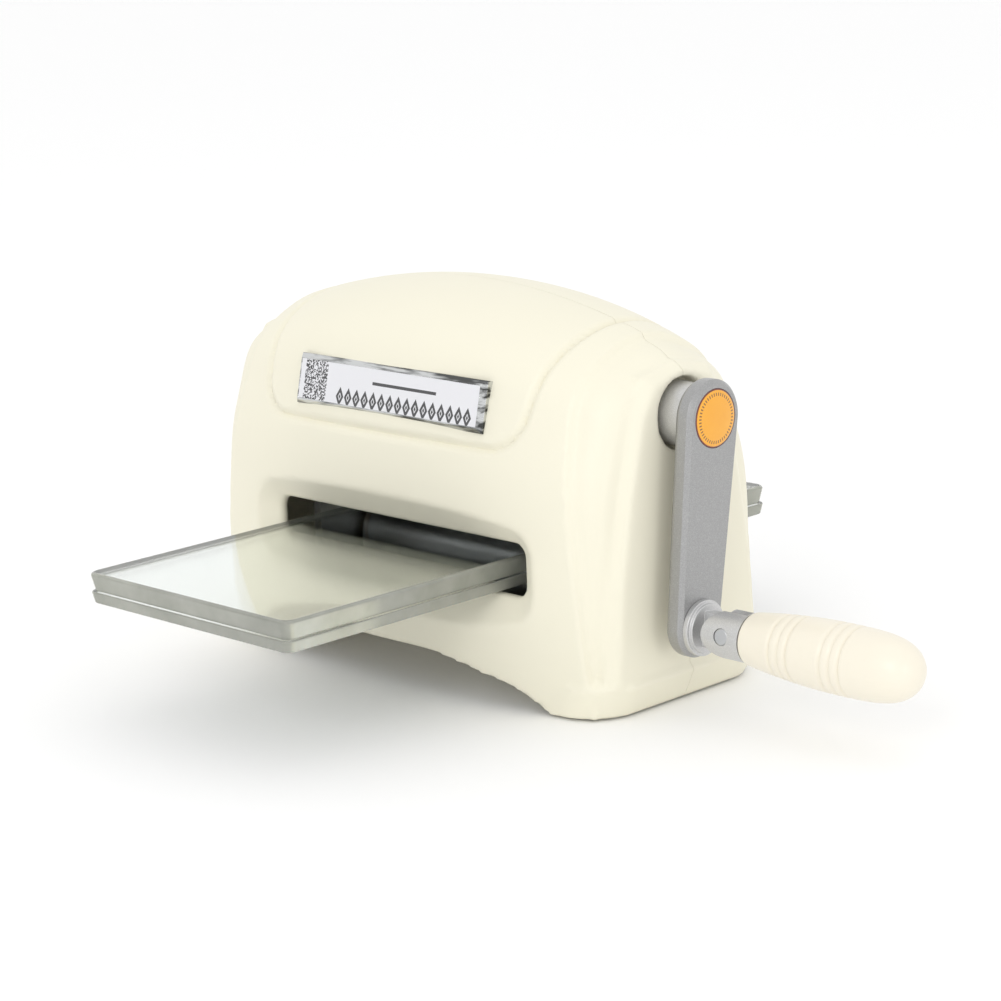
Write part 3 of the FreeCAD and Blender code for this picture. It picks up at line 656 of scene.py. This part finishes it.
def crank_arm():
    """Arm with a well rounded back and a narrow bright bevel round its face."""
    bm = cad_copy("crank_arm")
    hub_low, hub_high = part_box("crank_hub")
    lug_low, lug_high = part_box("handle_lug")
    holes = [(low + high) / 2 for low, high in ((hub_low, hub_high), (lug_low, lug_high))]
    back_x = min(vert.co.x for vert in bm.verts)

    def on_back_outline(edge):
        middle = (edge.verts[0].co + edge.verts[1].co) / 2
        clear = all((middle - hole).yz.length > CLEAR_OF_HOLES for hole in holes)
        level = all(abs(vert.co.x - back_x) < WELD for vert in edge.verts)
        return clear and level and edge.is_manifold and edge.calc_face_angle(0) > SHARP

    outline = [edge for edge in bm.edges if on_back_outline(edge)]
    bmesh.ops.bevel(bm, geom=outline, offset=ARM_BACK_ROUND, offset_type="OFFSET", segments=7,
                    profile=0.5, affect="EDGES", clamp_overlap=False, material=-1)
    soften(bm, ARM_EDGE)
    finish_piece(bm, "crank_arm", "crank", "silver_paint", ("crank_arm",))


crank_arm()

SATIN_SILVER = silver_paint("satin_silver", 0.52, 0.70)
BRIGHTER = ("crank_hub", "handle_lug", "handle_sleeve")

for node, body, finish, width in SOFTENED:
    copy = cad_copy(node)
    soften(copy, width * MM)
    piece = finish_piece(copy, node, body, finish, (node,))
    if node in BRIGHTER:
        piece.data.materials[0] = SATIN_SILVER

# %% [markdown]
# ## Grip
#
# The grip is turned, so its outline is spun about the handle's axis. The outline is a formula: a
# long swell that closes in a dome, with two groups of three shallow rings.

# %% Grip profile and spin
GRIP_LOW, GRIP_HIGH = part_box("grip")
GRIP_AXIS = Vector((0, (GRIP_LOW.y + GRIP_HIGH.y) / 2, (GRIP_LOW.z + GRIP_HIGH.z) / 2))
GRIP_START, GRIP_TIP = GRIP_LOW.x, GRIP_HIGH.x
RINGS = [value * MM for value in (100.2, 102.8, 105.4, 115.2, 117.8, 120.4)]
RING_DEPTH, RING_WIDTH = 0.5 * MM, 0.34 * MM
GRIP_MOUTH_R, GRIP_SWELL, SPINDLE_R = 6.1 * MM, 2.05 * MM, 2.5 * MM
FULLEST, DOME = 0.62, 10
BORE_DEPTH, BORE_CLEARANCE = 20.0 * MM, 0.1 * MM


def grip_radius(x):
    """Outside radius of the grip at one X."""
    t = min(1.0, (x - GRIP_START) / (GRIP_TIP - GRIP_START))
    swell = GRIP_MOUTH_R + GRIP_SWELL * (1 - max(0.0, 1 - t / FULLEST) ** 2.2)
    notch = sum(RING_DEPTH * exp(-((x - ring) / RING_WIDTH) ** 2) for ring in RINGS)
    return swell * sqrt(max(0.0, 1.0 - t ** DOME)) - notch


def spin_profile(points, axis_point, steps):
    """Closed solid of revolution about X from (x, radius) points that end on the axis."""
    bm = bmesh.new()
    ring = [bm.verts.new((x, axis_point.y, axis_point.z + radius)) for x, radius in points]
    edges = [bm.edges.new(pair) for pair in zip(ring, ring[1:])]
    bmesh.ops.spin(bm, geom=ring + edges, cent=axis_point, axis=(1, 0, 0), dvec=(0, 0, 0),
                   angle=2 * pi, steps=steps, use_merge=True, use_duplicate=False)
    bmesh.ops.remove_doubles(bm, verts=bm.verts, dist=WELD)
    bmesh.ops.recalc_face_normals(bm, faces=bm.faces)
    return bm


def grip_points():
    """Spindle bore, rounded mouth and the outside up to the tip."""
    mouth_round = 0.5 * MM
    bore_end, bore_r = GRIP_START + BORE_DEPTH, SPINDLE_R + BORE_CLEARANCE
    points = [(bore_end, 0.0), (bore_end, bore_r), (GRIP_START, bore_r),
              (GRIP_START, GRIP_MOUTH_R - mouth_round)]
    for turn in (30, 60):
        points.append((GRIP_START + mouth_round * (1 - cos(radians(turn))),
                       GRIP_MOUTH_R - mouth_round * (1 - sin(radians(turn)))))
    length = GRIP_TIP - GRIP_START
    count = 190
    for k in range(1, count):
        t = sin(0.5 * pi * k / count) ** 1.2
        x = GRIP_START + mouth_round + (length - mouth_round) * t
        points.append((x, grip_radius(x)))
    points.append((GRIP_TIP, 0.0))
    return points


grip = spin_profile(grip_points(), GRIP_AXIS, 72)
finish_piece(grip, "grip", "grip", "grip_cream", ("grip",), ROUNDED)

# %% [markdown]
# ## Badge
#
# A disc of amber resin sits in the arm. Surface tension leaves it domed, so its profile is a
# shallow arc, spun like the grip. Its ring of ticks belongs to the material.

# %% Domed badge
BADGE_LOW, BADGE_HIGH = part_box("badge")
BADGE_AXIS = Vector((0, (BADGE_LOW.y + BADGE_HIGH.y) / 2, (BADGE_LOW.z + BADGE_HIGH.z) / 2))
BADGE_R = (BADGE_HIGH.z - BADGE_LOW.z) / 2
BADGE_DOME = 0.45 * MM
FINISH["badge_amber"] = badge_amber(BADGE_AXIS, BADGE_R)


def badge_points():
    """Flat back, short side and a domed front."""
    points = [(BADGE_LOW.x, 0.0), (BADGE_LOW.x, BADGE_R), (BADGE_HIGH.x - 0.15 * MM, BADGE_R)]
    for k in range(1, 17):
        radius = (BADGE_R - 0.1 * MM) * (1 - k / 16)
        height = BADGE_DOME * (1 - (radius / BADGE_R) ** 2)
        points.append((BADGE_HIGH.x + height, radius))
    return points


badge = spin_profile(badge_points(), BADGE_AXIS, 64)
finish_piece(badge, "badge", "crank", "badge_amber", ("badge",), ROUNDED)

# %% [markdown]
# ## Label plate
#
# The label is a bevelled mirror plate with a printed middle. The middle is made by an inset of
# the front face, which is pressed in a little, so that the print and the mirror rim can have their
# own materials. The print is generic: a speckled block and a row of diamonds.

# %% Label materials
def mirror_rim():
    """Mirror chrome with faint ripples, and painted reflections: the same lines swing its colour
    between near black and light grey.
    """
    material, tree, shader = start_material("mirror_rim", metallic=1.0)
    shader.inputs["Roughness"].default_value = 0.06
    ripples_and_reflections = place_group(tree, TOOL_LINES, Along_X=60.0, Along_Y=300.0, Along_Z=600.0)
    # painted reflections: sharp dark and light bands in the chrome's own colour
    ramp = tree.nodes.new("ShaderNodeValToRGB")
    ramp.color_ramp.elements[0].position, ramp.color_ramp.elements[1].position = 0.42, 0.58
    ramp.color_ramp.elements[0].color = (0.07, 0.072, 0.07, 1)
    ramp.color_ramp.elements[1].color = (0.62, 0.63, 0.63, 1)
    tree.links.new(ripples_and_reflections.outputs["Lines"], ramp.inputs["Fac"])
    tree.links.new(ramp.outputs["Color"], shader.inputs["Base Color"])
    add_bump(tree, shader, ripples_and_reflections.outputs["Lines"], 0.0002)
    return material


DIAMONDS = 22.0
DIAMONDS_START = 5


def spread_from(tree, value, low, high):
    """Maps low..high to 0..1."""
    node = tree.nodes.new("ShaderNodeMapRange")
    tree.links.new(value, node.inputs["Value"])
    node.inputs["From Min"].default_value = low
    node.inputs["From Max"].default_value = high
    return node.outputs["Result"]


def label_print(low, high):
    """White print under a gloss film, with a speckled block and a row of diamonds."""
    material, tree, shader = start_material("label_print", Coat_Weight=1.0, Coat_Roughness=0.03)
    shader.inputs["Roughness"].default_value = 0.3
    place = tree.nodes.new("ShaderNodeTexCoord").outputs["Object"]
    parts = tree.nodes.new("ShaderNodeSeparateXYZ")
    tree.links.new(place, parts.inputs[0])
    across = spread_from(tree, parts.outputs["X"], low.x, high.x)
    upward = spread_from(tree, parts.outputs["Z"], low.z, high.z)

    def window(value, start, end):
        return math_node(tree, "MULTIPLY", math_node(tree, "GREATER_THAN", value, start),
                         math_node(tree, "LESS_THAN", value, end))

    speckle = math_node(tree, "GREATER_THAN", noise(tree, place, 2300.0, 1.0), 0.49)
    block = math_node(tree, "MULTIPLY", window(across, 0.045, 0.17), window(upward, 0.08, 0.92))
    block = math_node(tree, "MULTIPLY", block, speckle)
    cell = math_node(tree, "FRACT", math_node(tree, "MULTIPLY", across, DIAMONDS), 0.0)
    sideways = math_node(tree, "ABSOLUTE", math_node(tree, "SUBTRACT", cell, 0.5), 0.0)
    height = math_node(tree, "SUBTRACT", upward, 0.28)
    height = math_node(tree, "ABSOLUTE", math_node(tree, "MULTIPLY", height, 2.4), 0.0)
    reach = math_node(tree, "ADD", sideways, height)
    row = window(across, DIAMONDS_START / DIAMONDS, (DIAMONDS - 1) / DIAMONDS)
    band = math_node(tree, "MULTIPLY", math_node(tree, "LESS_THAN", reach, 0.46), row)
    hollow = math_node(tree, "MULTIPLY", window(reach, 0.12, 0.2), row)
    band = math_node(tree, "SUBTRACT", band, hollow)
    line = math_node(tree, "MULTIPLY", window(across, 0.42, 0.76), window(upward, 0.60, 0.66))
    ink = math_node(tree, "MAXIMUM", math_node(tree, "MAXIMUM", block, band), line)
    mix = tree.nodes.new("ShaderNodeMix")
    mix.data_type = "RGBA"
    mix.inputs["A"].default_value = (0.76, 0.76, 0.79, 1)
    mix.inputs["B"].default_value = (0.025, 0.025, 0.028, 1)
    tree.links.new(ink, mix.inputs["Factor"])
    tree.links.new(mix.outputs["Result"], shader.inputs["Base Color"])
    return material


# %% Label shape
LABEL_LOW, LABEL_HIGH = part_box("label_plate")
LABEL_WIDE, LABEL_TALL, LABEL_THICK = 64.4 * MM, 12.4 * MM, 1.2 * MM
LABEL_LEAN = radians(-13.0)
LABEL_PLACE = Vector((-0.8, -30.7, 71.4)) * MM
RIM_WIDTH, RIM_STEP, PRINT_SINK = 1.5 * MM, 0.3 * MM, 0.12 * MM


def label_piece():
    """Plate with a sloping mirror rim round a printed middle that sits a little lower."""
    bm = bmesh.new()
    bmesh.ops.create_cube(bm, size=1.0)
    bmesh.ops.scale(bm, verts=bm.verts, vec=(LABEL_WIDE, 4 * MM, LABEL_TALL))
    bmesh.ops.translate(bm, verts=bm.verts, vec=(0, 2 * MM, 0))
    front = min(bm.faces, key=lambda face: face.calc_center_median().y)
    for width, depth in ((RIM_WIDTH, LABEL_THICK), (RIM_STEP, 0.0), (0.1 * MM, -PRINT_SINK)):
        bmesh.ops.inset_region(bm, faces=[front], thickness=width, depth=0.0)
        bmesh.ops.translate(bm, verts=front.verts, vec=(0, -depth, 0))
    bmesh.ops.inset_region(bm, faces=[front], thickness=0.3 * MM, depth=0.0)
    front.material_index = 1
    around = {face for edge in front.edges for face in edge.link_faces}
    for face in around:
        face.material_index = 1
    soften(bm, 0.12 * MM, 3, radians(12))
    bmesh.ops.rotate(bm, verts=bm.verts, cent=(0, 0, 0), matrix=Matrix.Rotation(LABEL_LEAN, 3, "X"))
    bmesh.ops.translate(bm, verts=bm.verts, vec=LABEL_PLACE)
    piece = finish_piece(bm, "label_plate", "casing", "mirror_label", ("label_plate",))
    piece.data.materials.append(label_print(LABEL_LOW, LABEL_HIGH))


FINISH["mirror_label"] = mirror_rim()
label_piece()

# %% [markdown]
# ## Pressing plates
#
# The two plates are clear acrylic. Light shows their thickness only at their edges, so each plate
# gets rounded bevels; its edges have a half milky material of their own, with painted reflections.

# %% Plates
FLAT = 0.99
EDGE = acrylic_edge()

for name in ("upper_plate", "lower_plate"):
    plate = cad_copy(name)
    soften(plate, 0.35 * MM, 3, radians(20))
    for face in plate.faces:
        face.material_index = 0 if abs(face.normal.z) > FLAT else 1
    piece = finish_piece(plate, name, name, "clear_acrylic", (name,))
    piece.data.materials.append(EDGE)

# %% [markdown]
# ## Everything inside
#
# Frame plates, gears, bushes and clips keep their CAD meshes. They are seen only through the slot
# and from below, so a good material is enough. The record's own material slots say which one.

# %% Materials on the other CAD nodes
slot_of = {part["node"]: part["material_slot"] for part in frame["record"]["subparts"]}
for name, obj in nodes.items():
    finish = slot_of.get(name)
    if finish in FINISH:
        obj.data.materials.clear()
        obj.data.materials.append(FINISH[finish])
